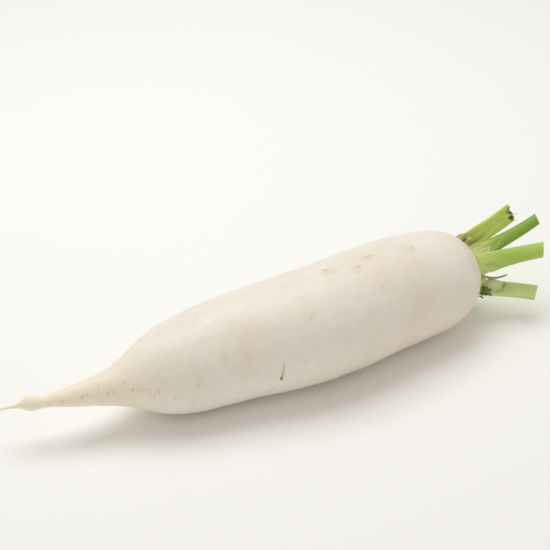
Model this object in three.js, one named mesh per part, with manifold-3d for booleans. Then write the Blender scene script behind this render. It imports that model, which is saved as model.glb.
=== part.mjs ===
// A daikon radish lying on its side, its leaf stalks cut short. Millimetres, +Z up.
// +X runs along the root towards the crown. The origin is on the surface it lies on, in the middle of
// the narrow flat where the belly's flesh beds down.

import * as THREE from "three";
import { mergeVertices } from "three/addons/utils/BufferGeometryUtils.js";
import Module from "manifold-3d";

const wasm = await Module();
wasm.setup();

// ---- driving dimensions ----

const BEDDING = 0.9; // how far the flesh settles on the surface
const GAP = 0.3; // between pieces that meet
const BELLY = [-90, 85]; // the stretch of the root that lies on the surface, along X
const ROOT_SIDES = 48;
const ROOT_STEPS = 2; // rings from one station of the outline to the next
const TAIL_DROOP = 0.0015; // fall of the thin tail, per mm of reach squared
const DROOP_START = -165;

// The root's outline from the tip of the tail to the crown: [x, radius].
const ROOT_OUTLINE = [
  [-219, 0],
  [-217.5, 0.8],
  [-211, 1.2],
  [-205, 1.4],
  [-200, 2],
  [-197, 3.4],
  [-193, 4.3],
  [-188, 3.9],
  [-180, 4.9],
  [-166, 7.4],
  [-152, 10],
  [-140, 13.5],
  [-128, 19.5],
  [-118, 25],
  [-108, 28.8],
  [-98, 31],
  [-85, 32.9],
  [-65, 34.7],
  [-40, 36.8],
  [-15, 38.2],
  [10, 38.8],
  [35, 38.5],
  [60, 37.9],
  [82, 36.9],
  [98, 34.9],
  [110, 30.6],
  [119, 24],
  [124, 18],
  [126, 11],
  [126.3, 0],
];

// The root's sideways bend: [x, y of the axis].
const ROOT_BEND = [
  [-219, 35.5],
  [-205, 31.5],
  [-190, 25.5],
  [-167, 18.7],
  [-130, 13],
  [-85, 11],
  [-55, 7.5],
  [-25, 2],
  [10, 0],
  [45, 3],
  [85, 5.3],
  [127, 5.7],
];

// The crown is the short stem on the root's shoulder. Its outline, from its buried underside: [x, radius].
const CROWN_OUTLINE = [
  [116, 0],
  [116.5, 12],
  [120, 16],
  [125, 17.5],
  [129, 16.8],
  [132, 13.5],
  [134, 8],
  [134.5, 0],
];
const CROWN_SIDES = 32;
const CROWN_SCARS = 7; // lobes left round the crown by leaves that have come off

const STALK_SIDES = 20;
const STALK_STEPS = 10;

// What is left of the leaves, each grown from the crown. Places are measured from the crown's axis.
//   inner: the way the grooved side faces
//   wide, deep: half the width and half the depth, where it clasps the crown and at the cut
//   groove: how far the inner side is hollowed, the same two ways
//   slant: how far the cut leans across the stalk; pith: how deep the broken end is hollow
const LEAVES = [
  {
    name: "near_leaf_stalk",
    path: [[123, -12, 9], [140, -14, 9.2], [170.5, -26, 14.5]],
    inner: [0.2, 0.9, -0.4],
    wide: [8.2, 5.5],
    deep: [3.8, 4.2],
    groove: [0.8, 0.4],
    slant: 0.2,
    pith: 0,
    tone: "green",
  },
  {
    name: "upper_leaf_stalk",
    path: [[122, -3, 11.5], [147.9, -6, 17.3], [175.4, -11, 30.2]],
    inner: [0.3, 0.35, -0.9],
    wide: [7.8, 4.2],
    deep: [3.2, 3.4],
    groove: [0.8, 0.35],
    slant: 0.2,
    pith: 0,
    tone: "green",
  },
  {
    name: "far_leaf_stalk",
    path: [[125.5, 8.5, 10.5], [144.5, 8.2, 18.6], [168.6, 7.6, 28.4]],
    inner: [-0.2, -0.9, 0.35],
    wide: [8, 6.7],
    deep: [3, 3.4],
    groove: [0.8, 0.5],
    slant: 0.12,
    pith: 4,
    tone: "green",
  },
  {
    name: "lower_leaf_stalk",
    path: [[124, -12, -11.5], [139, -17.5, -13.1], [163, -33, -15.7]],
    inner: [-0.2, -0.3, 0.93],
    wide: [5.6, 6.3],
    deep: [3.2, 3.4],
    groove: [0.8, 0.35],
    slant: -0.12,
    pith: 0,
    tone: "green",
  },
  {
    name: "stalk_stub_1",
    path: [[122, 6, -15], [132, 6, -15.5], [138, 6, -17]],
    inner: [0, -0.2, 1],
    wide: [8, 6],
    deep: [3, 3],
    groove: [0.8, 0.4],
    slant: 0.2,
    pith: 0,
    tone: "pale",
  },
  {
    name: "stalk_stub_2",
    path: [[122, 15, -4], [134, 15, -4], [140, 17, -4]],
    inner: [0, -1, 0.25],
    wide: [8, 6],
    deep: [3, 3],
    groove: [0.8, 0.4],
    slant: -0.2,
    pith: 0,
    tone: "pale",
  },
  {
    name: "dry_leaf_base",
    path: [[123, 9.5, 19.5], [127, 10.5, 21], [130.5, 11.5, 22]],
    inner: [0, -0.45, -0.9],
    wide: [7.5, 6.5],
    deep: [1.8, 1.3],
    groove: [0.9, 0.9],
    slant: 0,
    pith: 0,
    tone: "dry",
  },
  {
    name: "withered_stalk",
    path: [[129, -8, -2], [139.2, -13, -6.5], [145.6, -19.6, -2]],
    inner: [0, 0.3, 1],
    wide: [3.2, 0.9],
    deep: [1.6, 0.7],
    groove: [0.4, 0.4],
    slant: 0.8,
    pith: 0,
    tone: "dry",
  },
];

// Small crumpled blades and scales, and the bud of young leaves in the middle of the crown.
// size: half the length, half the width, half the thickness; turn: about X, Y, Z in turn, in degrees.
const SCRAPS = [
  {
    name: "heart_bud",
    at: [138, 0.5, -1],
    size: [8, 4.4, 3.8],
    turn: [20, -12, 0],
    tone: "pale",
  },
  {
    name: "basal_leaflet_1",
    at: [130, -21, -8.5],
    size: [5.5, 3.6, 0.9],
    turn: [-55, 0, -30],
    tone: "leaf",
  },
  {
    name: "basal_leaflet_2",
    at: [132, -20.5, -13.5],
    size: [5, 3, 0.9],
    turn: [-60, 20, -20],
    tone: "leaf",
  },
  {
    name: "dry_scale",
    at: [126.5, -16, -16.5],
    size: [3, 1.8, 0.7],
    turn: [-40, 30, -30],
    tone: "dry",
  },
];
const SCRAP_SIDES = [16, 10];

// ---- small tools ----

// A smooth function of x through [x, value] stations given in rising x.
function through(stations) {
  const curve = new THREE.SplineCurve(
    stations.map(([x, value]) => new THREE.Vector2(x, value)),
  );
  const samples = curve.getPoints(stations.length * 12);
  return (x) => {
    const next = samples.findIndex((point) => point.x >= x);
    if (next === 0) return samples[0].y;
    if (next < 0) return samples.at(-1).y;
    const [from, to] = [samples[next - 1], samples[next]];
    return THREE.MathUtils.mapLinear(x, from.x, to.x, from.y, to.y);
  };
}

// Moves every vertex of a geometry by a function that changes the point it is given.
function reshape(geometry, move) {
  const place = geometry.attributes.position;
  const point = new THREE.Vector3();
  for (let i = 0; i < place.count; i += 1) {
    move(point.fromBufferAttribute(place, i));
    place.setXYZ(i, point.x, point.y, point.z);
  }
  return geometry;
}

// A body of revolution about +X from [x, radius] stations, at its axis's own zero.
function turned(outline, sides, steps) {
  const curve = new THREE.SplineCurve(
    outline.map(([x, radius]) => new THREE.Vector2(radius, x)),
  );
  const points = curve.getPoints((outline.length - 1) * steps);
  points[0].x = 0;
  points.at(-1).x = 0;
  const geometry = new THREE.LatheGeometry(points, sides);
  return geometry.rotateZ(-Math.PI / 2).rotateX(Math.PI / sides);
}

// A geometry as a manifold-3d solid, for a cut or a join.
function solid(geometry) {
  const bare = geometry.clone();
  bare.deleteAttribute("normal");
  bare.deleteAttribute("uv");
  const merged = mergeVertices(bare, 1e-3);
  return new wasm.Manifold(
    new wasm.Mesh({
      numProp: 3,
      vertProperties: merged.attributes.position.array,
      triVerts: new Uint32Array(merged.index.array),
    }),
  );
}

// A manifold-3d solid as a geometry again.
function geometryOf(body) {
  const mesh = body.getMesh();
  return new THREE.BufferGeometry()
    .setAttribute("position", new THREE.BufferAttribute(mesh.vertProperties, 3))
    .setIndex(new THREE.BufferAttribute(mesh.triVerts, 1));
}

// ---- the root ----

const rootRadius = through(ROOT_OUTLINE);
const rootBend = through(ROOT_BEND);

// Height of the root's axis: a radius above the surface along the belly, carried on to both ends.
function rootHeight(x) {
  const droop = TAIL_DROOP * Math.max(0, DROOP_START - x) ** 2;
  return rootRadius(THREE.MathUtils.clamp(x, ...BELLY)) - BEDDING - droop;
}

// Roots swell a little unevenly: the share that the radius gains or loses round the axis.
function rootSwell(x, angle) {
  return 1 + 0.01 * Math.sin(2 * angle + 0.6) + 0.006 * Math.sin(3 * angle + x / 45);
}

function rootGeometry(grow = 0) {
  const outline = ROOT_OUTLINE.map(([x, radius]) => [x, radius && radius + grow]);
  outline[0][0] -= grow;
  outline.at(-1)[0] += grow;
  return reshape(turned(outline, ROOT_SIDES, ROOT_STEPS), (point) => {
    const swell = rootSwell(point.x, Math.atan2(point.z, point.y));
    point.y = point.y * swell + rootBend(point.x);
    point.z = Math.max(point.z * swell + rootHeight(point.x), 0);
  });
}

// ---- the crown ----

const CROWN_PLACE = new THREE.Vector3(0, rootBend(126), rootHeight(126));

function crownGeometry(grow = 0) {
  const outline = CROWN_OUTLINE.map(([x, radius]) => [x, radius && radius + grow]);
  outline.at(-1)[0] += grow;
  const geometry = reshape(turned(outline, CROWN_SIDES, 2), (point) => {
    const scar = 1 + 0.03 * Math.sin(CROWN_SCARS * Math.atan2(point.z, point.y));
    point.y *= scar;
    point.z *= scar;
  });
  return geometry.translate(...CROWN_PLACE);
}

// ---- the leaves ----

// A stalk is swept along its path, widest where it clasps the crown: half round outside, grooved inside.
function stalkGeometry({ path, inner, wide, deep, groove, slant, pith }, grow = 0) {
  const curve = new THREE.CatmullRomCurve3(path.map((place) => new THREE.Vector3(...place)));
  const facing = new THREE.Vector3(...inner);
  const blank = new THREE.CylinderGeometry(1, 1, 1, STALK_SIDES, STALK_STEPS);
  const geometry = reshape(blank, (point) => {
    const along = point.y + 0.5;
    const rim = Math.hypot(point.x, point.z);
    const [right, up] = rim > 0 ? [point.x / rim, point.z / rim] : [0, 0];
    const ofBase = (1 - along) ** 2;
    const [halfWide, halfDeep, hollow] = [wide, deep, groove].map(([base, cut]) =>
      THREE.MathUtils.lerp(cut, base, ofBase),
    );
    const across = right * (halfWide + grow);
    const depth = (up < 0 ? up : 0.55 * up - hollow * up ** 4) * halfDeep + up * grow;
    const end = grow * (2 * along - 1);
    const lean = rim > 0.5 ? slant * across * along ** 4 : -pith * along;
    const tangent = curve.getTangentAt(along);
    const side = new THREE.Vector3().crossVectors(tangent, facing).normalize();
    const out = new THREE.Vector3().crossVectors(side, tangent);
    point
      .copy(curve.getPointAt(along))
      .addScaledVector(side, across)
      .addScaledVector(out, depth)
      .addScaledVector(tangent, lean + end);
  });
  return geometry.translate(...CROWN_PLACE);
}

// A scrap is a flattened ball, crumpled into waves that deepen towards its free end.
function scrapGeometry({ at, size, turn }, grow = 0) {
  const [length, width, thickness] = size.map((half) => half + grow);
  const ball = new THREE.SphereGeometry(1, ...SCRAP_SIDES).rotateZ(-Math.PI / 2);
  const geometry = reshape(ball, (point) => {
    const wave = Math.sin(5 * point.x + 3 * point.y) * Math.cos(4 * point.y);
    point.z = point.z * thickness + 0.16 * width * wave;
    point.x *= length;
    point.y *= width;
  });
  const lean = new THREE.Euler(...turn.map(THREE.MathUtils.degToRad), "ZYX");
  geometry.applyMatrix4(new THREE.Matrix4().makeRotationFromEuler(lean));
  return geometry.translate(...at).translate(...CROWN_PLACE);
}

// ---- assembly ----

// Colour and roughness of each kind of tissue.
const TONES = {
  skin: [0xeee6d8, 0.45],
  stem: [0xa9ab5c, 0.55],
  green: [0x8db14f, 0.45],
  pale: [0xbcc98a, 0.5],
  leaf: [0x35591f, 0.6],
  dry: [0xa08a5c, 0.8],
};

const radish = new THREE.Group();

function add(name, geometry, tone) {
  const [color, roughness] = TONES[tone];
  const look = new THREE.MeshStandardMaterial({ color, roughness, metalness: 0 });
  const mesh = new THREE.Mesh(geometry, look);
  mesh.name = name;
  radish.add(mesh);
}

// What is left of a body after a cut, without the crumbs.
function cutAway(body, cutter) {
  const parts = body.subtract(cutter).decompose();
  return parts.sort((one, other) => other.volume() - one.volume())[0];
}

add("taproot", rootGeometry(), "skin");

// Each piece gives way to the pieces before it.
let taken = solid(rootGeometry(GAP));

function grow(name, shapeOf, tone) {
  add(name, geometryOf(cutAway(solid(shapeOf(0)), taken)), tone);
  taken = taken.add(solid(shapeOf(GAP)));
}

grow("crown", (extra) => crownGeometry(extra), "stem");
LEAVES.forEach((leaf) => grow(leaf.name, (extra) => stalkGeometry(leaf, extra), leaf.tone));
SCRAPS.forEach((scrap) => grow(scrap.name, (extra) => scrapGeometry(scrap, extra), scrap.tone));

export default radish;
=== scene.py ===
# %% [markdown]
# # A daikon radish
#
# A daikon is a swollen taproot. Above it sits the crown, a stem squeezed so short that all its
# leaves seem to start from one place. Here the leaves are cut down to their stalks. The packed
# model already holds the true sizes, so this lesson adds what the eye looks for: skin, scars,
# ribs and cut ends.

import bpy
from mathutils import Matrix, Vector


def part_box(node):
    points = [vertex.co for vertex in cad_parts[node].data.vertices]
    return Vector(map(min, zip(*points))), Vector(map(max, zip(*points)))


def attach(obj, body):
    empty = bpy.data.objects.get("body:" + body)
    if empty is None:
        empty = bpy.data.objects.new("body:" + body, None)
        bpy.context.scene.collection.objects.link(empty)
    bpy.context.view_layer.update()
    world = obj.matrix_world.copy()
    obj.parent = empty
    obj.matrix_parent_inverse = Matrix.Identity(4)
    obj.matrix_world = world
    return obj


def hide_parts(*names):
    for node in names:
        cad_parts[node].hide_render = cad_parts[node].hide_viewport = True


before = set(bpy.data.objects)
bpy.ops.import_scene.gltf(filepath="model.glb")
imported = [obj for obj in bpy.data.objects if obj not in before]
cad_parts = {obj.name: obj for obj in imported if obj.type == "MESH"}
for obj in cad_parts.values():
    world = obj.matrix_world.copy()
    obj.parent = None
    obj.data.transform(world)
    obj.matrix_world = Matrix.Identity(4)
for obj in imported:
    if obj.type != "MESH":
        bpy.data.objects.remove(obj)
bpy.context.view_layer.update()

# %% Tools and units
from math import atan2, cos, degrees, exp, hypot, radians, sin
from random import Random

import bmesh
import bpy
from mathutils import Euler, Vector, noise
from mathutils.bvhtree import BVHTree

MM = 0.001
scene = bpy.context.scene

# %% [markdown]
# ## The camera and the light
#
# A softbox hangs above the root and a little behind it, so the crest is brightest and the side
# that faces the camera falls off gently. A second lamp could lift that side, but it would throw a
# second shadow, so a pale, warm sky does it. The floor is plain and pale. The camera is a short
# telephoto that looks down on the root from its near side, a little from the tail.

# %% Camera
camera = bpy.data.objects.new("camera", bpy.data.cameras.new("camera"))
scene.collection.objects.link(camera)
scene.camera = camera
camera.data.lens = 85
camera.location = Vector((-369.3, -579.9, 556.9)) * MM
LOOK_DOWN, LOOK_ROUND = radians(35), radians(30)
looking = Vector((sin(LOOK_ROUND), cos(LOOK_ROUND), 0)) * cos(LOOK_DOWN)
looking.z = -sin(LOOK_DOWN)
camera.rotation_euler = looking.to_track_quat("-Z", "Y").to_euler()
print("camera stands", round(camera.location.length, 3), "m from the origin")


# %% Softboxes, sky and floor
def softbox(name, place, size, power, colour):
    lamp = bpy.data.lights.new(name, "AREA")
    lamp.shape = "RECTANGLE"
    lamp.size, lamp.size_y = size
    lamp.energy, lamp.color = power, colour
    made = bpy.data.objects.new(name, lamp)
    made.location = place
    made.rotation_euler = (-Vector(place)).to_track_quat("-Z", "Y").to_euler()
    scene.collection.objects.link(made)


softbox("overhead_softbox", (0, 0.42, 1.25), (1.2, 0.8), 9.2, (0.95, 0.98, 1))

sky = bpy.data.worlds.new("sky")
sky.use_nodes = True
glow = sky.node_tree.nodes["Background"]
glow.inputs["Color"].default_value = (1, 0.945, 0.85, 1)
glow.inputs["Strength"].default_value = 0.56
scene.world = sky
scene.view_settings.view_transform = "Standard"

FLOOR_HALF = 6
ground = bmesh.new()
bmesh.ops.create_grid(ground, x_segments=1, y_segments=1, size=FLOOR_HALF)
floor_mesh = bpy.data.meshes.new("floor")
ground.to_mesh(floor_mesh)
ground.free()
floor = bpy.data.objects.new("floor", floor_mesh)
scene.collection.objects.link(floor)
print("floor", 2 * FLOOR_HALF, "m across")

# %% [markdown]
# ## From a working mesh to a piece
#
# Every piece ends the same way. Its bmesh becomes an object at the origin, it rides on the part's
# one body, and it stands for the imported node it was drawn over. Saying that once keeps the rest
# short.


# %% Turn a bmesh into a finished piece
def make_piece(name, work, node, rounding=0):
    bmesh.ops.recalc_face_normals(work, faces=work.faces)
    mesh = bpy.data.meshes.new(name)
    work.to_mesh(mesh)
    work.free()
    mesh.shade_smooth()
    piece = bpy.data.objects.new(name, mesh)
    scene.collection.objects.link(piece)
    if rounding:
        smoother = piece.modifiers.new("rounding", "SUBSURF")
        smoother.levels = smoother.render_levels = rounding
    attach(piece, "root")
    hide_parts(node)
    print(f"{name}: {len(mesh.polygons)} faces")
    return piece


# %% [markdown]
# ## The root's body
#
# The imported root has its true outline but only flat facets. It could be turned again from a
# profile, but then the bow, the drooping tail and the flat belly would all have to be found a
# second time. So its own mesh is copied, its doubled points merged, its triangles paired into
# squares, and two rounds of subdivision make it smooth. That comes before any relief, so the
# relief has enough points.

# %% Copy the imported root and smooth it
facets = bmesh.new()
facets.from_mesh(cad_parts["taproot"].data)
bmesh.ops.remove_doubles(facets, verts=facets.verts, dist=0.001 * MM)
bmesh.ops.join_triangles(
    facets,
    faces=facets.faces,
    angle_face_threshold=radians(60),
    angle_shape_threshold=radians(60),
)
cage_mesh = bpy.data.meshes.new("root_cage")
facets.to_mesh(cage_mesh)
facets.free()
cage = bpy.data.objects.new("root_cage", cage_mesh)
scene.collection.objects.link(cage)
smooth = cage.modifiers.new("smooth", "SUBSURF")
smooth.levels = smooth.render_levels = 2
smooth_cage = cage.evaluated_get(bpy.context.evaluated_depsgraph_get())
dense_mesh = bpy.data.meshes.new_from_object(smooth_cage)
bpy.data.objects.remove(cage)
print("root skin has", len(dense_mesh.polygons), "faces")

# %% [markdown]
# ## Finding a place on the skin
#
# Marks on a root are easiest to give the way a gardener would: so far along it, and so far round
# it. A ray sent outwards from the root's own axis finds the point of skin there. Along is in
# millimetres on X. Round is in degrees: 0 faces the far side, 90 is the top and 180 faces the
# near side.

# %% Find skin points by ray
RING_REACH = 4 * MM
skin_tree = BVHTree.FromPolygons(
    [vert.co for vert in dense_mesh.vertices], [face.vertices for face in dense_mesh.polygons]
)


def axis_at(x):
    """The middle of the root at x millimetres along it."""
    ring = [vert.co for vert in dense_mesh.vertices if abs(vert.co.x - x * MM) < RING_REACH]
    middle = sum(ring, Vector()) / len(ring)
    return Vector((x * MM, middle.y, middle.z))


def skin_point(x, turn):
    """The point of skin x millimetres along and turn degrees round."""
    outwards = Vector((0, cos(radians(turn)), sin(radians(turn))))
    return skin_tree.ray_cast(axis_at(x), outwards)[0]


print("crest near the middle, mm:", [round(c / MM, 1) for c in skin_point(10, 90)])

# %% [markdown]
# ## Dents and unevenness
#
# A root never grows evenly. It swells between stones, and shallow dimples mark where side roots
# came out. Sculpting by hand would do, but a small table of dents can be read and changed. Each
# dent lowers the skin by a soft bell curve, and slow noise makes the rest swell a little. The
# belly is left alone where it touches the floor, so the root still lies flat.

# %% Press dents into the skin
# place along in mm, place round in degrees, reach along and round in mm, depth in mm.
# A depth below zero is a swelling: the knob on the tail.
DENTS = [
    (67, 100, 5, 4, 0.7),
    (71, 96, 3, 3, 0.6),
    (32, 90, 9, 5, 0.7),
    (25, 99, 4, 3, 0.6),
    (7, 85, 6, 4, 0.8),
    (-23, 134, 3, 3, 0.3),
    (-46, 178, 3, 7, 0.35),
    (-98, 166, 7, 6, 0.6),
    (-120, 172, 8, 5, 0.4),
    (-59, 208, 9, 13, 0.6),
    (8, 216, 9, 12, 0.5),
    (53, 211, 7, 10, 0.5),
    (-158, 210, 2.5, 7, 0.6),
    (-166, 137, 2.5, 3, 0.4),
    (-194, 110, 5, 7, -1.7),
    (-184.5, 100, 4, 6, 0.7),
    (-207, 90, 4, 5, 0.5),
    (90, 20, 8, 8, 0.6),
    (-20, 10, 7, 6, 0.7),
    (-75, 350, 6, 9, 0.6),
    (40, 345, 5, 7, 0.6),
    (-130, 20, 6, 5, 0.5),
]
dents = [
    (skin_point(x, turn), along * MM, around * MM, depth * MM)
    for x, turn, along, around, depth in DENTS
]


def bell(offset, along, around):
    """A soft bell curve: one in its middle, and low past its two reaches."""
    return exp(-((offset.x / along) ** 2) - (hypot(offset.y, offset.z) / around) ** 2)


# The swelling fades over the tail, and all relief fades in the last millimetres above the floor.
TAIL_TIP, TAIL_LENGTH = -215, 60
FLAT_HEIGHT, FLAT_FADE = 0.2, 4
skin = bmesh.new()
skin.from_mesh(dense_mesh)
skin.normal_update()
for vert in skin.verts:
    here = vert.co.copy()
    swell = (0.35 * noise.noise(here * 22) + 0.14 * noise.noise(here * 70)) * MM
    swell *= min(1, max(0.25, (here.x / MM - TAIL_TIP) / TAIL_LENGTH))
    lowered = sum(
        depth * bell(here - place, along, around) for place, along, around, depth in dents
    )
    off_floor = min(1, max(0, here.z / MM - FLAT_HEIGHT) / FLAT_FADE)
    vert.co += vert.normal * (swell - lowered) * off_floor
root = make_piece("root", skin, "taproot")

# %% [markdown]
# ## A kit for writing finishes
#
# A finish is a graph of nodes, and clicking one together hides the sums behind it. Here a socket
# is wrapped so that plus, minus and times build the Math nodes themselves, and one method makes
# every other node from its type, its settings and what goes into its sockets.


# %% Wires and finishes
class Wire:
    """A socket that sums can be written with."""

    def __init__(self, finish, socket):
        self.finish, self.socket = finish, socket

    def __add__(self, other):
        return self.finish.maths("ADD", self, other)

    def __sub__(self, other):
        return self.finish.maths("SUBTRACT", self, other)

    def __rsub__(self, other):
        return self.finish.maths("SUBTRACT", other, self)

    def __mul__(self, other):
        return self.finish.maths("MULTIPLY", self, other)

    __radd__, __rmul__ = __add__, __mul__


class Finish:
    """The nodes of one material."""

    def __init__(self, name):
        self.material = bpy.data.materials.new(name)
        self.material.use_nodes = True
        self.tree = self.material.node_tree
        self.shader = self.tree.nodes["Principled BSDF"]

    def node(self, kind, settings=(), sockets=(), out=0):
        made = self.tree.nodes.new("ShaderNode" + kind)
        for setting, value in dict(settings).items():
            setattr(made, setting, value)
        for socket, value in dict(sockets).items():
            self.feed(made.inputs[socket], value)
        return Wire(self, made.outputs[out])

    def feed(self, socket, value):
        if isinstance(value, Wire):
            self.tree.links.new(value.socket, socket)
        else:
            socket.default_value = value

    def maths(self, operation, *values):
        return self.node("Math", {"operation": operation}, enumerate(values))

    def vectors(self, operation, *values, out=0):
        return self.node("VectorMath", {"operation": operation}, enumerate(values), out)

    def mix(self, amount, one, other):
        return self.node("Mix", {"data_type": "RGBA"}, {0: amount, 6: one, 7: other}, 2)

    def cloud(self, where, scale, detail=2):
        return self.node("TexNoise", {}, {"Vector": where, "Scale": scale, "Detail": detail})

    def rise(self, value, low, high):
        return self.node(
            "MapRange", {"interpolation_type": "SMOOTHSTEP"}, {0: value, 1: low, 2: high}
        )

    def place(self):
        return self.node("TexCoord", out="Object")

    def own(self, attribute, out="Fac"):
        return self.node("Attribute", {"attribute_name": attribute}, out=out)

    def bump(self, height, depth, strength=1):
        return self.node("Bump", {}, {"Height": height, "Distance": depth, "Strength": strength})

    def shade(self, **sockets):
        for socket, value in sockets.items():
            self.feed(self.shader.inputs[socket.replace("_", " ")], value)

    def wear(self, piece):
        piece.data.materials.append(self.material)
        print(f"{self.material.name} on {piece.name}: {len(self.tree.nodes)} nodes")


def paint(code):
    """A colour written the way paint charts write it, as light."""
    parts = [int(code[i : i + 2], 16) / 255 for i in (0, 2, 4)]
    return (*[c / 12.92 if c < 0.04045 else ((c + 0.055) / 1.055) ** 2.4 for c in parts], 1)


# %% [markdown]
# ## The root's skin
#
# Fresh daikon skin is ivory and a little see-through, so light sinks in and comes out warmer. Its
# marks run round the root, not along it: hairline rings, short tan dashes where side roots left,
# and here a healed cut with a dark pit. The tail turns straw yellow, and it is also painted
# lighter than the rest of the skin: a painted highlight on the thin tail. The shoulder takes a
# breath of green from the daylight it grew in. Each mark is a soft oval at its own place on the
# skin, and one shared mask carries them all into the colour and the bump. A painted image would
# tie the piece to a file, so the marks are reckoned from where each point is.

# %% Places of the marks
# place along in mm, place round in degrees, half lengths along and round in mm, darkness
MARKS = [
    (-47.2, 187.3, 1.3, 2.4, 0.82),
    (-45.6, 180, 3.4, 8.0, 0.1),
    (-80.5, 147, 4.4, 7.5, 0.12),
    (-67, 152, 4.4, 7.5, 0.13),
    (70.5, 99, 6.5, 5.5, 0.16),
    (38, 91, 9, 4.5, 0.15),
    (25, 100, 7, 5, 0.12),
    (7, 88, 9, 6, 0.18),
    (70.5, 99, 3.8, 3.4, 0.22),
    (72, 96, 2.0, 1.8, 0.34),
    (39, 88, 4.6, 2.2, 0.30),
    (35, 89, 3.0, 2.2, 0.24),
    (27, 97, 2.4, 2.0, 0.36),
    (24, 103, 2.2, 1.8, 0.24),
    (6, 85, 3.4, 2.4, 0.38),
    (3, 88, 5.0, 3.4, 0.14),
    (-22, 134, 1.4, 1.8, 0.22),
    (-99, 164, 4.4, 5.0, 0.13),
    (-92, 150, 3.0, 5.0, 0.08),
    (-114, 180, 1.2, 2.4, 0.24),
    (-123, 166, 1.0, 2.8, 0.28),
    (-125.5, 176, 1.0, 2.2, 0.24),
    (-128, 161, 1.4, 1.0, 0.24),
    (-131, 162, 1.3, 1.3, 0.27),
    (-133.5, 161, 1.3, 0.9, 0.26),
    (-136.5, 158, 1.1, 1.8, 0.30),
    (-140, 135, 1.2, 2.4, 0.20),
    (-147, 158, 0.9, 2.2, 0.24),
    (-150.5, 162, 1.0, 2.2, 0.26),
    (-154, 120, 1.4, 1.6, 0.22),
    (-165.5, 154, 1.4, 1.3, 0.38),
    (-162, 148, 1.0, 1.4, 0.24),
    (-177, 166, 0.9, 1.3, 0.28),
    (-184, 176, 0.8, 1.2, 0.26),
    (-193, 160, 1.4, 1.2, 0.28),
    (-195.5, 168, 1.0, 1.0, 0.26),
    (-103, 190, 1.0, 1.8, 0.28),
]

# %% Healed cuts and scattered marks
# A healed cut is a row of short marks about a millimetre apart: its first place, its last place,
# how many marks, and the darkness at either end.
HEALED_CUTS = [
    ((-45, 168.3), (-46.8, 185.7), 12, 0.26, 0.56),
    ((-51.4, 199), (-52.2, 205), 5, 0.18, 0.28),
]
for first, last, count, faint, strong in HEALED_CUTS:
    for step in range(count):
        part = step / (count - 1)
        x, turn = (one + part * (other - one) for one, other in zip(first, last))
        MARKS.append((x, turn, 0.85 + 0.2 * part, 1.5, faint + (strong - faint) * part))
# The other row of side roots is on the far side, where a seeded scatter stands in for it.
scatter = Random(7)
for step in range(22):
    x = -175 + 13 * step + scatter.uniform(-5, 5)
    turn = -18 + 0.06 * x + scatter.uniform(-9, 9)
    MARKS.append(
        (x, turn, scatter.uniform(0.6, 1.4), scatter.uniform(1.4, 3.2), scatter.uniform(0.2, 0.5))
    )
# Between the marks of the near row stand fine, faint ones.
for step in range(18):
    x = -196 + 5.6 * step + scatter.uniform(-2, 2)
    turn = 160 + scatter.uniform(-12, 12)
    MARKS.append(
        (x, turn, scatter.uniform(0.5, 0.8), scatter.uniform(0.9, 2.2), scatter.uniform(0.1, 0.24))
    )
print(len(MARKS), "marks on the skin")

# %% The skin's finish
skin_finish = Finish("daikon_skin")
where = skin_finish.place()
grit = skin_finish.node("TexNoise", {}, {"Vector": where, "Scale": 420, "Detail": 2}, "Color")
wander = skin_finish.vectors("SUBTRACT", grit, (0.5, 0.5, 0.5))
wander = skin_finish.vectors("MULTIPLY", wander, (0.3 * MM, 0.6 * MM, 0.6 * MM))
ragged = skin_finish.vectors("ADD", where, wander)
marks = 0.0
for x, turn, along, around, dark in MARKS:
    offset = skin_finish.vectors("SUBTRACT", ragged, tuple(skin_point(x, turn)))
    reach = (1 / (along * MM), 1 / (around * MM), 1 / (around * MM))
    offset = skin_finish.vectors("MULTIPLY", offset, reach)
    away = skin_finish.vectors("LENGTH", offset, out="Value")
    marks = skin_finish.maths("MAXIMUM", marks, (1 - skin_finish.rise(away, 0.2, 1.2)) * dark)

along_root = skin_finish.node("SeparateXYZ", {}, {0: where}, "X")
slow = skin_finish.cloud(where, 15, 3)
blushing = skin_finish.cloud(skin_finish.vectors("ADD", where, (3, 5, 2)), 32, 3)
pores = skin_finish.cloud(where, 170, 3)
ring_place = skin_finish.vectors("MULTIPLY", where, (620, 34, 34))
rings = skin_finish.cloud(ring_place, 1, 3)
dash_place = skin_finish.vectors("MULTIPLY", ragged, (60, 22, 22))
dashes = skin_finish.node("TexVoronoi", {}, {"Vector": dash_place, "Scale": 1}, "Distance")
freckles = (1 - skin_finish.rise(dashes, 0.03, 0.1)) * skin_finish.rise(blushing, 0.5, 0.62)

colour = skin_finish.mix(skin_finish.rise(slow, 0.38, 0.68), paint("F3EEE7"), paint("EEE5D7"))
colour = skin_finish.mix(skin_finish.rise(blushing, 0.45, 0.75) * 0.4, colour, paint("EDE0D2"))
colour = skin_finish.mix(skin_finish.rise(pores, 0.4, 0.7) * 0.2, colour, paint("E6D9C2"))
colour = skin_finish.mix(skin_finish.rise(rings, 0.52, 0.8) * 0.1, colour, paint("D9C4A2"))
# The tail is painted straw yellow, its own tint, and lighter too: a painted highlight on the thin
# tail.
tail = 1 - skin_finish.rise(along_root, -0.2, -0.1)
shoulder = skin_finish.rise(along_root, 0.108, 0.128)
colour = skin_finish.mix(tail * 0.9, colour, paint("FBF3DC"))
colour = skin_finish.mix(shoulder * 0.6, colour, paint("DCD6A4"))
colour = skin_finish.mix(freckles * 0.13, colour, paint("C79F70"))
colour = skin_finish.mix(skin_finish.rise(marks, 0, 0.3) * 0.5, colour, paint("DAC78E"))
colour = skin_finish.mix(skin_finish.rise(marks, 0.18, 0.55) * 0.6, colour, paint("B7965C"))
colour = skin_finish.mix(skin_finish.rise(marks, 0.4, 1), colour, paint("5F4728"))

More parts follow.
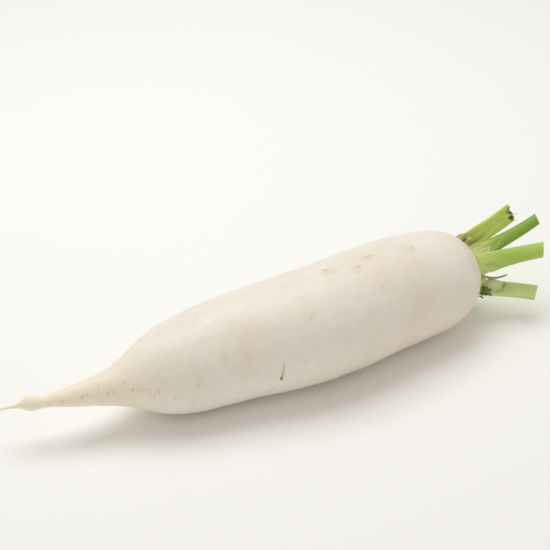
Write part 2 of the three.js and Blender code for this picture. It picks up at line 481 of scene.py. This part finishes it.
fine = skin_finish.cloud(where, 1100, 2)
relief = rings * 0.35 + fine * 0.2 + pores * 0.9 - marks * 1.6 - freckles * 0.3
skin_finish.shade(
    Base_Color=colour,
    Roughness=0.36 + slow * 0.16 + marks * 0.2,
    Normal=skin_finish.bump(relief, 0.35 * MM),
    Subsurface_Weight=0.3,
    Subsurface_Radius=(1.0, 0.55, 0.32),
    Subsurface_Scale=5 * MM,
    Specular_IOR_Level=0.4,
)
skin_finish.wear(root)

# %% [markdown]
# ## The crown
#
# The crown is a low knob on the shoulder, lumpy where leaves have come away. A ball gives its
# closed shape at once: it is stretched along the root's axis and flattened on top, and a row of
# soft humps round its flank makes the leaf scars. It sinks a millimetre into the root, because
# the two are one plant and no gap may show.

# %% Shape the crown
HUB_LIFT = 0.5 * MM
crown_low, crown_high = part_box("crown")
hub = (Vector(crown_low) + Vector(crown_high)) / 2
hub.x, hub.z = 0, hub.z + HUB_LIFT
print("crown axis, mm:", [round(c / MM, 2) for c in hub])

CROWN_MIDDLE, CROWN_HALF, CROWN_RADIUS = 124.5, 9.6, 16.8
LEAF_HUMPS = 8
knob = bmesh.new()
bmesh.ops.create_uvsphere(knob, u_segments=96, v_segments=48, radius=1)
for vert in knob.verts:
    turn, lift = atan2(vert.co.y, vert.co.x), vert.co.z
    rim = min(1, hypot(vert.co.x, vert.co.y)) ** 0.8
    hump = 0.5 * max(0, cos(LEAF_HUMPS * turn + 6 * lift)) * rim + 0.5 * noise.noise(vert.co * 3)
    reach = CROWN_RADIUS * rim + hump
    along = CROWN_MIDDLE + CROWN_HALF * lift + 0.6 * noise.noise(vert.co * 5)
    vert.co = hub + Vector((along, reach * cos(turn), reach * sin(turn))) * MM
crown = make_piece("crown_knob", knob, "crown")

# %% [markdown]
# ## The crown's finish
#
# Where leaves were attached the tissue is yellow green, and it dries to brown on the upper side.
# Each lost leaf has left a scar with a thin, corky rim. A cell pattern gives one cell to each
# scar.

# %% Paint the crown
crown_finish = Finish("crown_tissue")
where = crown_finish.place()
patches = crown_finish.cloud(where, 140, 4)
wobble = crown_finish.node("TexNoise", {}, {"Vector": where, "Scale": 160}, "Color")
wobble = crown_finish.vectors("MULTIPLY", wobble, (4 * MM, 4 * MM, 4 * MM))
wobble = crown_finish.vectors("ADD", where, wobble)
scars = crown_finish.node(
    "TexVoronoi",
    {"feature": "DISTANCE_TO_EDGE"},
    {"Vector": wobble, "Scale": 115},
    "Distance",
)
rims = 1 - crown_finish.rise(scars, 0.0, 0.1)
height = crown_finish.node("SeparateXYZ", {}, {0: where}, "Z")
colour = crown_finish.mix(crown_finish.rise(patches, 0.4, 0.65), paint("CBCF86"), paint("A9B052"))
colour = crown_finish.mix(rims * 0.5, colour, paint("8B7E3C"))
brown = crown_finish.rise(height, 0.042, 0.056) * crown_finish.rise(patches, 0.35, 0.6)
colour = crown_finish.mix(brown * 0.7, colour, paint("8A7034"))
colour = crown_finish.mix(crown_finish.rise(patches, 0.62, 0.8) * 0.5, colour, paint("6A5426"))
relief = crown_finish.cloud(where, 520, 4) * 0.5 - rims * 0.7
crown_finish.shade(
    Base_Color=colour,
    Roughness=0.5 + patches * 0.2,
    Normal=crown_finish.bump(relief, 0.6 * MM),
    Subsurface_Weight=0.1,
    Subsurface_Radius=(0.8, 0.9, 0.3),
    Subsurface_Scale=2 * MM,
)
crown_finish.wear(crown)

# %% [markdown]
# ## A leaf stalk
#
# A radish leaf stalk is rounded outside, grooved inside, ribbed along its length, and widest
# where it clasps the crown. A curve with a bevel could give a tube, but not a section that
# changes from a thin clasping sheath to a plump stalk. So a plain tube is cut into rings, its end
# is inset for the pith, and each point is moved by its place on the tube: so far along, so far
# round, so far out from the middle. Those places are kept as attributes, so the ribs and the
# colour can follow the stalk however it bends.


# %% A curve, its folds and a plain tube
# Round a stalk about 6 mm in half width, a degree is a tenth of a millimetre.
MM_PER_DEGREE = 0.1


def on_path(path, s):
    """A point on the smooth curve through three points, s from 0 to 1."""
    start, middle, end = path
    m = (middle - start).length / ((middle - start).length + (end - middle).length)
    return (
        start * ((s - m) * (s - 1) / m)
        + middle * (s * (s - 1) / (m * (m - 1)))
        + end * (s * (s - m) / (1 - m))
    )


def folded(folds, run, turn):
    """How far the folds lift a place on a stalk. A lift below zero makes a crease."""
    lift = 0
    for start, middle, half_long, half_wide, tilt, high in folds:
        u, v = run - start, MM_PER_DEGREE * ((turn - middle + 180) % 360 - 180)
        u, v = u * cos(tilt) + v * sin(tilt), v * cos(tilt) - u * sin(tilt)
        lift += high * exp(-((u / half_long) ** 2) - (v / half_wide) ** 2)
    return lift


def stalk_tube(sides, rings):
    """A tube of height one and radius one, with the pith's rings inset in its upper end."""
    work = bmesh.new()
    bmesh.ops.create_cone(work, cap_ends=True, segments=sides, radius1=1, radius2=1, depth=1)
    upright = [e for e in work.edges if abs(e.verts[0].co.z - e.verts[1].co.z) > 0.5]
    bmesh.ops.subdivide_edges(work, edges=upright, cuts=rings, use_grid_fill=True)
    cut_end = max(work.faces, key=lambda face: face.calc_center_median().z)
    cut_end.material_index = 1
    for band in (0.06, 0.12, 0.2, 0.22, 0.2):
        bmesh.ops.inset_region(work, faces=[cut_end], thickness=band)
    return work


# %% Sweep a stalk from the tube
RIB_COUNT = 13


def sweep_stalk(
    path,
    inner,
    wide,
    deep,
    groove=(0.8, 0.4),
    slant=0,
    pith=0.6,
    torn=0,
    rib=0.14,
    folds=(),
    seed=0,
    sides=56,
    rings=56,
):
    """A stalk from its foot to its cut end. A pair gives a size at the foot and at the end."""
    path = [hub + Vector(place) * MM for place in path]
    length = ((path[1] - path[0]).length + (path[2] - path[1]).length) / MM
    work = stalk_tube(sides, rings)
    grain = work.verts.layers.float_vector.new("grain")
    along = work.verts.layers.float.new("along")
    inside = work.verts.layers.float.new("inside")
    fold = work.verts.layers.float.new("fold")
    for vert in work.verts:
        s, rim = vert.co.z + 0.5, min(1, hypot(vert.co.x, vert.co.y))
        right, up = (vert.co.x / rim, -vert.co.y / rim) if rim > 0.01 else (0, 0)
        near_base = (1 - s) ** 2
        half_wide = wide[1] + (wide[0] - wide[1]) * near_base
        half_deep = deep[1] + (deep[0] - deep[1]) * near_base
        hollow = groove[1] + (groove[0] - groove[1]) * near_base
        uneven = 1 + 0.06 * noise.noise(Vector((3 * s, 1.7 * right, seed)))
        ribs = rib * (0.5 + 0.5 * noise.noise(Vector((6 * right, 6 * up, 2 * s + seed))))
        ribs *= cos(RIB_COUNT * atan2(up, right)) * rim
        lift = folded(folds, s * length, degrees(atan2(up, right))) * rim
        across = right * half_wide * uneven * rim + right * (ribs + lift)
        depth = (up if up < 0 else 0.55 * up - hollow * up**4) * half_deep * uneven * rim
        depth += up * (ribs + lift)
        snag = max(0, 0.7 * up + 0.7 * right)
        snag += 0.3 * noise.noise(Vector((3 * right, 3 * up, seed)))
        tear = torn * snag * s**4 * rim**3
        shift = slant * across * s**4 - pith * (1 - rim**5) * s - tear
        here = on_path(path, s)
        ahead = (on_path(path, s + 0.01) - on_path(path, s - 0.01)).normalized()
        side = ahead.cross(Vector(inner)).normalized()
        out = side.cross(ahead)
        vert[grain] = Vector((right * half_wide, up * half_deep, s * length)) * MM
        vert[along] = s
        vert[inside] = 1 - rim
        vert[fold] = lift
        vert.co = here + (side * across + out * depth + ahead * shift) * MM
    return work


def gather(works):
    """Several bmeshes as one."""
    whole = bmesh.new()
    for work in works:
        bmesh.ops.recalc_face_normals(work, faces=work.faces)
        part = bpy.data.meshes.new("part")
        work.to_mesh(part)
        work.free()
        whole.from_mesh(part)
        bpy.data.meshes.remove(part)
    return whole


# %% [markdown]
# ## The four stalks that were cut long
#
# They fan out from the crown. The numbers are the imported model's own, measured from the crown's
# axis in millimetres, so each stalk lies in the space its solid holds. Folds are where a stalk's
# clasping foot is pinched against its neighbours. The far one was snapped rather than cut: its
# groove side is torn back, its pith has gone, and a few fibres stick out.

# %% Make the long stalks
# folds: along in mm, round in degrees, half length, half width in mm, slope, lift in mm
near_stalk = make_piece(
    "near_stalk",
    sweep_stalk(
        path=[(123, -12, 9), (140, -14, 9.2), (170.5, -26, 14.5)],
        inner=(0.2, 0.9, -0.4),
        wide=(8.2, 5.5),
        deep=(3.8, 4.2),
        slant=0.2,
        folds=[
            (14.5, 240, 5.4, 0.8, -0.59, -0.65),
            (9, 222, 7, 1.3, -0.4, 1.3),
            (8, 262, 4, 0.9, -0.2, -0.8),
            (11, 282, 9, 1.3, 0, 0.6),
            (23, 318, 4, 0.4, 0.25, -0.35),
            (33, 280, 5, 0.4, -0.5, -0.25),
        ],
        seed=1,
    ),
    "near_leaf_stalk",
    1,
)
upper_stalk = make_piece(
    "upper_stalk",
    sweep_stalk(
        path=[(122, -3, 11.5), (147.9, -6, 17.3), (175.4, -11, 30.2)],
        inner=(0.3, 0.35, -0.9),
        wide=(7.8, 4.2),
        deep=(3.2, 3.4),
        groove=(0.8, 0.35),
        slant=0.2,
        rib=0.08,
        folds=[
            (16, 285, 6, 2.4, 0, 1.2),
            (24, 262, 6, 0.6, 0.5, -0.5),
            (12, 335, 6, 0.8, 0.3, -0.6),
        ],
        seed=2,
    ),
    "upper_leaf_stalk",
    1,
)
far_foot = sweep_stalk(
    path=[(125.5, 8.5, 10.5), (144.5, 8.2, 18.6), (168.6, 7.6, 28.4)],
    inner=(-0.2, -0.9, 0.35),
    wide=(8, 6.7),
    deep=(3, 3.4),
    groove=(0.8, 0.5),
    slant=0.12,
    pith=5,
    torn=5,
    rib=0.16,
    folds=[
        (12, 70, 12, 0.9, -0.1, -1.0),
        (14, 95, 12, 0.9, 0, 0.9),
        (28, 60, 10, 0.6, 0.1, 0.4),
    ],
    seed=3,
)
# fibres: the way each one runs
FIBRES = [
    [(155, 5.6, 28.4), (162.5, 3, 29.8), (168.6, 2.8, 28.8)],
    [(164, 6.2, 22.2), (167.5, 4.6, 22.4), (170.6, 4.4, 22)],
]
fibres = [
    sweep_stalk(way, (0, -0.9, 0.35), (0.7, 0.25), (0.5, 0.2), rib=0, sides=8, rings=12)
    for way in FIBRES
]
far_stalk = make_piece("far_stalk", gather([far_foot, *fibres]), "far_leaf_stalk", 1)
lower_stalk = make_piece(
    "lower_stalk",
    sweep_stalk(
        path=[(124, -12, -11.5), (139, -17.5, -13.1), (163, -33, -15.7)],
        inner=(-0.2, -0.3, 0.93),
        wide=(5.6, 6.3),
        deep=(3.2, 3.4),
        groove=(0.8, 0.35),
        slant=-0.12,
        folds=[
            (13, 128, 6.8, 4.2, 0, 2.9),
            (21.5, 114, 1.1, 2.6, -0.4, -1.9),
            (22.5, 138, 1.1, 1.8, 0.45, -1.5),
            (25, 122, 1.1, 2.4, -0.2, -0.6),
            (17, 62, 5, 0.9, 0.5, -1.0),
        ],
        seed=4,
    ),
    "lower_leaf_stalk",
    1,
)

# %% [markdown]
# ## Green of the stalks
#
# A stalk is palest where it clasps the crown and greenest towards the blade. Fine lengthwise
# streaks are the strands inside showing through. Noise stretched along the stalk's own grain
# makes them, and the same noise raises the ribs a little, so colour and relief agree. Raised
# folds are painted paler, a painted highlight, and creases are painted olive, painted shade.


# %% The stalks' finish
def green_finish(name, foot, body, tip, streak, streaks=0.5):
    finish = Finish(name)
    grain = finish.own("grain", "Vector")
    along = finish.own("along")
    strands = finish.cloud(finish.vectors("MULTIPLY", grain, (900, 900, 14)), 1, 3)
    broad = finish.cloud(finish.vectors("MULTIPLY", grain, (160, 160, 30)), 1, 2)
    colour = finish.mix(finish.rise(along + broad * 0.3, 0.2, 0.62), paint(foot), paint(body))
    colour = finish.mix(finish.rise(along + broad * 0.2, 0.65, 1.1), colour, paint(tip))
    colour = finish.mix(finish.rise(strands, 0.45, 0.75) * streaks, colour, paint(streak))
    colour = finish.mix(finish.rise(broad, 0.5, 0.8) * 0.25, colour, paint(foot))
    # Raised folds are painted paler, a painted highlight, and creases olive, painted shade.
    fold = finish.own("fold")
    colour = finish.mix(finish.rise(fold, 0.2, 1.8) * 0.7, colour, paint(foot))
    colour = finish.mix(finish.rise(0 - fold, 0.1, 1.2) * 0.6, colour, paint("8C9A28"))
    finish.shade(
        Base_Color=colour,
        Roughness=0.34 + strands * 0.2,
        Normal=finish.bump(strands + broad, 0.25 * MM),
        Subsurface_Weight=0.15,
        Subsurface_Radius=(0.5, 0.8, 0.2),
        Subsurface_Scale=2 * MM,
        Specular_IOR_Level=0.45,
    )
    return finish


# %% [markdown]
# ## The cut ends
#
# A knife leaves a flat face. Under the thin green skin is a paler ring with the strands' ends in
# it, and the pith in the middle is almost white. How far a point lies inside the rim was kept
# when the stalk was swept, and it picks the colour. The snapped far stalk's end gets the same
# rings painted dark green to black: painted shade in the hollow where its pith has gone.


# %% The cut face's finish
def cut_finish(name, rim, ring, pith):
    finish = Finish(name)
    inside = finish.own("inside")
    cells = finish.node("TexVoronoi", {}, {"Vector": finish.place(), "Scale": 900}, "Distance")
    dots = (1 - finish.rise(cells, 0.1, 0.4)) * finish.rise(inside, 0.1, 0.2)
    colour = finish.mix(finish.rise(inside, 0.02, 0.14), paint(rim), paint(ring))
    colour = finish.mix(finish.rise(inside, 0.25, 0.7), colour, paint(pith))
    colour = finish.mix(dots * 0.35, colour, paint(rim))
    finish.shade(
        Base_Color=colour,
        Roughness=0.5,
        Normal=finish.bump(finish.cloud(finish.place(), 1500, 2), 0.3 * MM),
        Subsurface_Weight=0.15,
        Subsurface_Radius=(0.6, 0.8, 0.3),
        Subsurface_Scale=2 * MM,
    )
    return finish


clean_cut = cut_finish("clean_cut", "7E9C44", "B3C77E", "D5DDB4")
# The snapped end is painted dark green to black inwards: painted shade in its hollow.
painted_shade_hollow_cut = cut_finish("hollow_break_painted_shade", "6F8F3A", "35480F", "0C1203")
near_green = green_finish("near_stalk_green", "C8D47C", "AECB5C", "B2D061", "CFE08C", 0.35)
upper_green = green_finish("upper_stalk_green", "C9D48E", "86AA38", "82AB2E", "9BBB4C", 0.35)
# Far stalk: its yellow green painted much lighter, a painted highlight on its shaded front.
far_green = green_finish("far_stalk_green", "D0D868", "D4E676", "C0DC66", "E4EEA0")
# Lower stalk: its pale foot and greens painted lighter, a painted highlight on its shaded lobe.
lower_green = green_finish("lower_stalk_green", "F0F4C8", "D0DE92", "C8D886", "E4ECB8", 0.35)
for stalk, green, cut in (
    (near_stalk, near_green, clean_cut),
    (upper_stalk, upper_green, clean_cut),
    (far_stalk, far_green, painted_shade_hollow_cut),
    (lower_stalk, lower_green, clean_cut),
):
    green.wear(stalk)
    cut.wear(stalk)

# %% [markdown]
# ## Stubs, the bud and what has withered
#
# Lower leaves were trimmed close, which leaves stubs on the far side. In the middle of the crown
# the next leaves wait as a small bud of folded stalks. One old stalk has shrivelled to a curled
# sliver. All of them are stalks, so the same sweep makes them with other numbers.

# %% Make the stubs, the bud and the sliver
under_stub = make_piece(
    "under_stub",
    sweep_stalk(
        path=[(122, 6, -15), (132, 6, -15.5), (138, 6, -17)],
        inner=(0, -0.2, 1),
        wide=(8, 6),
        deep=(3, 3),
        slant=0.2,
        rings=20,
        seed=5,
    ),
    "stalk_stub_1",
    1,
)
far_stub = make_piece(
    "far_stub",
    sweep_stalk(
        path=[(122, 15, -4), (134, 15, -4), (140, 17, -4)],
        inner=(0, -1, 0.25),
        wide=(8, 6),
        deep=(3, 3),
        slant=-0.2,
        rings=20,
        seed=6,
    ),
    "stalk_stub_2",
    1,
)
# path, the way its groove faces, half width at foot and tip
BUD_LEAVES = [
    ([(130, 2, 1), (139, 2.2, 2.4), (147, 3.4, 5)], (0, -0.3, -1), (4.2, 1.3)),
    ([(130, -3, -2), (138, -4, -2), (145.5, -4.6, 1)], (0, 1, 0.1), (4.0, 1.2)),
    ([(130, 4, -3), (137, 5, -3), (143.5, 5.4, -1)], (0, -1, 0.2), (3.8, 1.1)),
    ([(130, 0.5, -5), (136.5, 0.6, -6.2), (142, 0.5, -6)], (0, 0, 1), (3.6, 1.0)),
    ([(130, 0, -1), (137, 0, -1), (143.5, 0.6, 0.2)], (0, 0.5, 1), (2.6, 0.8)),
]
young = [
    sweep_stalk(path, inner, wide, (2.2, 0.9), (0.7, 0.5), rib=0.1, seed=number, sides=24, rings=20)
    for number, (path, inner, wide) in enumerate(BUD_LEAVES)
]
bud = make_piece("bud", gather(young), "heart_bud", 1)
withered = make_piece(
    "withered_sliver",
    sweep_stalk(
        path=[(129, -8, -2), (139.2, -13, -6.5), (145.6, -19.6, -2)],
        inner=(0, 0.3, 1),
        wide=(3.2, 0.9),
        deep=(1.6, 0.7),
        groove=(0.4, 0.4),
        torn=1.5,
        rib=0.25,
        seed=9,
        sides=24,
        rings=30,
    ),
    "withered_stalk",
    1,
)

# %% [markdown]
# ## Colours of the small stalks
#
# Stubs are pale, because they stood in the shade of the leaves. Young leaves are yellow green with
# greener tips. The withered one has lost its green, and old cuts have dried to straw. The finish of
# the long stalks does for all of them, with other paints.

# %% Finish the small stalks
pale_green = green_finish("pale_stalk_green", "CBD3A0", "BFCB8C", "B3C47A", "D8DEBB")
bud_green = green_finish("bud_green", "DDE3A6", "C3D36E", "8FB23A", "E4E9B8")
withered_green = green_finish("withered_green", "B3B565", "A6AC6C", "6A6A40", "C6C795")
old_cut = cut_finish("dried_cut", "9A9350", "BDB683", "CFC79C")
for stalk, green in (
    (under_stub, pale_green),
    (far_stub, pale_green),
    (bud, bud_green),
    (withered, withered_green),
):
    green.wear(stalk)
    old_cut.wear(stalk)

# %% [markdown]
# ## Crumpled leaflets
#
# At the foot of the lower stalk a few tiny leaf lobes are left, dark and crinkled. A dark scrap
# of one lies under the crown. A flat grid trimmed to a leaf's outline, rippled, and given a
# thickness makes both. Cloth simulation could crumple them, but ripples of two sizes are enough
# at this scale.


# %% Crumple a blade from a grid
def crumple_blade(at, turn, size, ripple, seed):
    """A small blade, rippled, turned, and set at a place measured from the crown's axis."""
    work = bmesh.new()
    bmesh.ops.create_grid(work, x_segments=18, y_segments=12, size=1)
    tilt = Euler([radians(angle) for angle in turn]).to_matrix()
    for vert in work.verts:
        x, y = vert.co.x, vert.co.y
        lobes = 1 + 0.18 * sin(9 * x + seed) + 0.1 * noise.noise(Vector((4 * x, seed, 0)))
        trim = (1 - x * x * 0.92) ** 0.5 * lobes
        wave = noise.noise(Vector((1.8 * x, 2.2 * y, seed)))
        wave += 0.5 * noise.noise(Vector((5 * x, 5 * y, seed)))
        flat = Vector((size[0] * x, size[1] * y * trim, ripple * wave + 0.35 * size[1] * y * y))
        vert.co = hub + (tilt @ flat + Vector(at)) * MM
    bmesh.ops.solidify(work, geom=work.faces[:], thickness=0.35 * MM)
    return work


# %% Make the leaflets and the scale under the crown
upper_blades = [
    crumple_blade((129, -19.2, -10), (-55, 0, -30), (3.4, 2.2), 1.3, 1),
    crumple_blade((127.5, -18.8, -7.5), (-70, 15, -40), (2.4, 1.6), 1.1, 2),
]
lower_blades = [
    crumple_blade((129.8, -19.7, -13.6), (-60, 20, -20), (3.4, 2.2), 1.2, 3),
    crumple_blade((127, -19, -12.5), (-75, -10, -35), (2.4, 1.8), 1.1, 4),
]
upper_leaflet = make_piece(
    "upper_leaflet", gather(upper_blades), "basal_leaflet_1", 1
)
lower_leaflet = make_piece(
    "lower_leaflet", gather(lower_blades), "basal_leaflet_2", 1
)
scrap = crumple_blade((126.5, -16, -16.5), (-40, 30, -30), (2.6, 1.7), 0.7, 5)
scale = make_piece("dark_scale", scrap, "dry_scale", 1)

# %% [markdown]
# ## Papery sheaths round the crown
#
# The feet of lost leaves still wrap the crown, thin and dry, with frayed lips. The same kind of
# grid is wrapped round the crown's axis here, so it follows the shoulder. The brown one lies on
# the upper side; paler ones show between the feet of the green stalks.


# %% Wrap sheaths round the crown
def wrap_sheath(first, last, start, rise, reach, flare, seed):
    """A frayed sheath round the crown's axis, from the first to the last degree."""
    work = bmesh.new()
    bmesh.ops.create_grid(work, x_segments=40, y_segments=10, size=1)
    for vert in work.verts:
        u, high = vert.co.x, (vert.co.y + 1) / 2
        fray = 1 - 0.7 * u * u + 0.3 * noise.noise(Vector((4 * u, 0, seed)))
        turn = radians(first + (last - first) * (u + 1) / 2)
        out = reach + flare * high**1.5 + 0.6 * noise.noise(Vector((4 * u, 3 * high, seed)))
        along = start + rise * high * fray
        vert.co = hub + Vector((along, out * cos(turn), out * sin(turn))) * MM
    bmesh.ops.solidify(work, geom=work.faces[:], thickness=0.4 * MM)
    return work


foot = make_piece(
    "dry_foot",
    gather(
        [
            wrap_sheath(30, 80, 120, 11, 19.4, 4, 8),
            wrap_sheath(55, 100, 119.5, 5.5, 18.8, 2, 12),
        ]
    ),
    "dry_leaf_base",
    1,
)
sheaths = make_piece(
    "pale_sheaths",
    gather(
        [
            wrap_sheath(58, 84, 121, 11, 18, 2.4, 21),
            wrap_sheath(94, 132, 120, 18, 16.6, 2.2, 22),
            wrap_sheath(172, 204, 120, 10, 16.6, 1.6, 23),
            wrap_sheath(196, 232, 120, 9, 16.8, 1.2, 25),
            wrap_sheath(250, 300, 121, 6, 16, 1.4, 24),
        ]
    ),
    "crown",
    1,
)

# %% [markdown]
# ## Thin, crinkled surfaces
#
# Leaf lobes and dried sheaths are mottled by their veins. One fine noise serves as both the veins'
# colour and their relief, and a coarser one adds patches. The pale sheaths are smoother, so their
# relief is weaker.


# %% Finish leaflets and scales
def blade_finish(name, dark, light, roughness, crinkle=0.6):
    finish = Finish(name)
    where = finish.place()
    veins = finish.cloud(where, 700, 4)
    patches = finish.cloud(where, 220, 2)
    colour = finish.mix(finish.rise(veins, 0.45, 0.7), paint(dark), paint(light))
    colour = finish.mix(finish.rise(patches, 0.5, 0.75) * 0.5, colour, paint(light))
    finish.shade(Base_Color=colour, Roughness=roughness, Normal=finish.bump(veins, crinkle * MM))
    return finish


leaf_green = blade_finish("leaflet_green", "47631A", "86A03C", 0.5)
dry_brown = blade_finish("dry_brown", "94804A", "C0B272", 0.75)
dark_brown = blade_finish("dark_scrap", "4A4530", "7C7354", 0.8)
pale_dry = blade_finish("pale_sheath", "BCC474", "CFD694", 0.6, 0.15)
for blade, finish in (
    (upper_leaflet, leaf_green),
    (lower_leaflet, leaf_green),
    (foot, dry_brown),
    (sheaths, pale_dry),
    (scale, dark_brown),
):
    finish.wear(blade)

# %% [markdown]
# ## The floor
#
# The floor is nearly white, rough and almost without shine. A pattern on it would only compete
# with the root, so it has none.

# %% Finish the floor
floor_finish = Finish("pale_floor")
floor_finish.shade(Base_Color=(0.97, 0.97, 0.97, 1), Roughness=0.8, Specular_IOR_Level=0.1)
floor_finish.wear(floor)
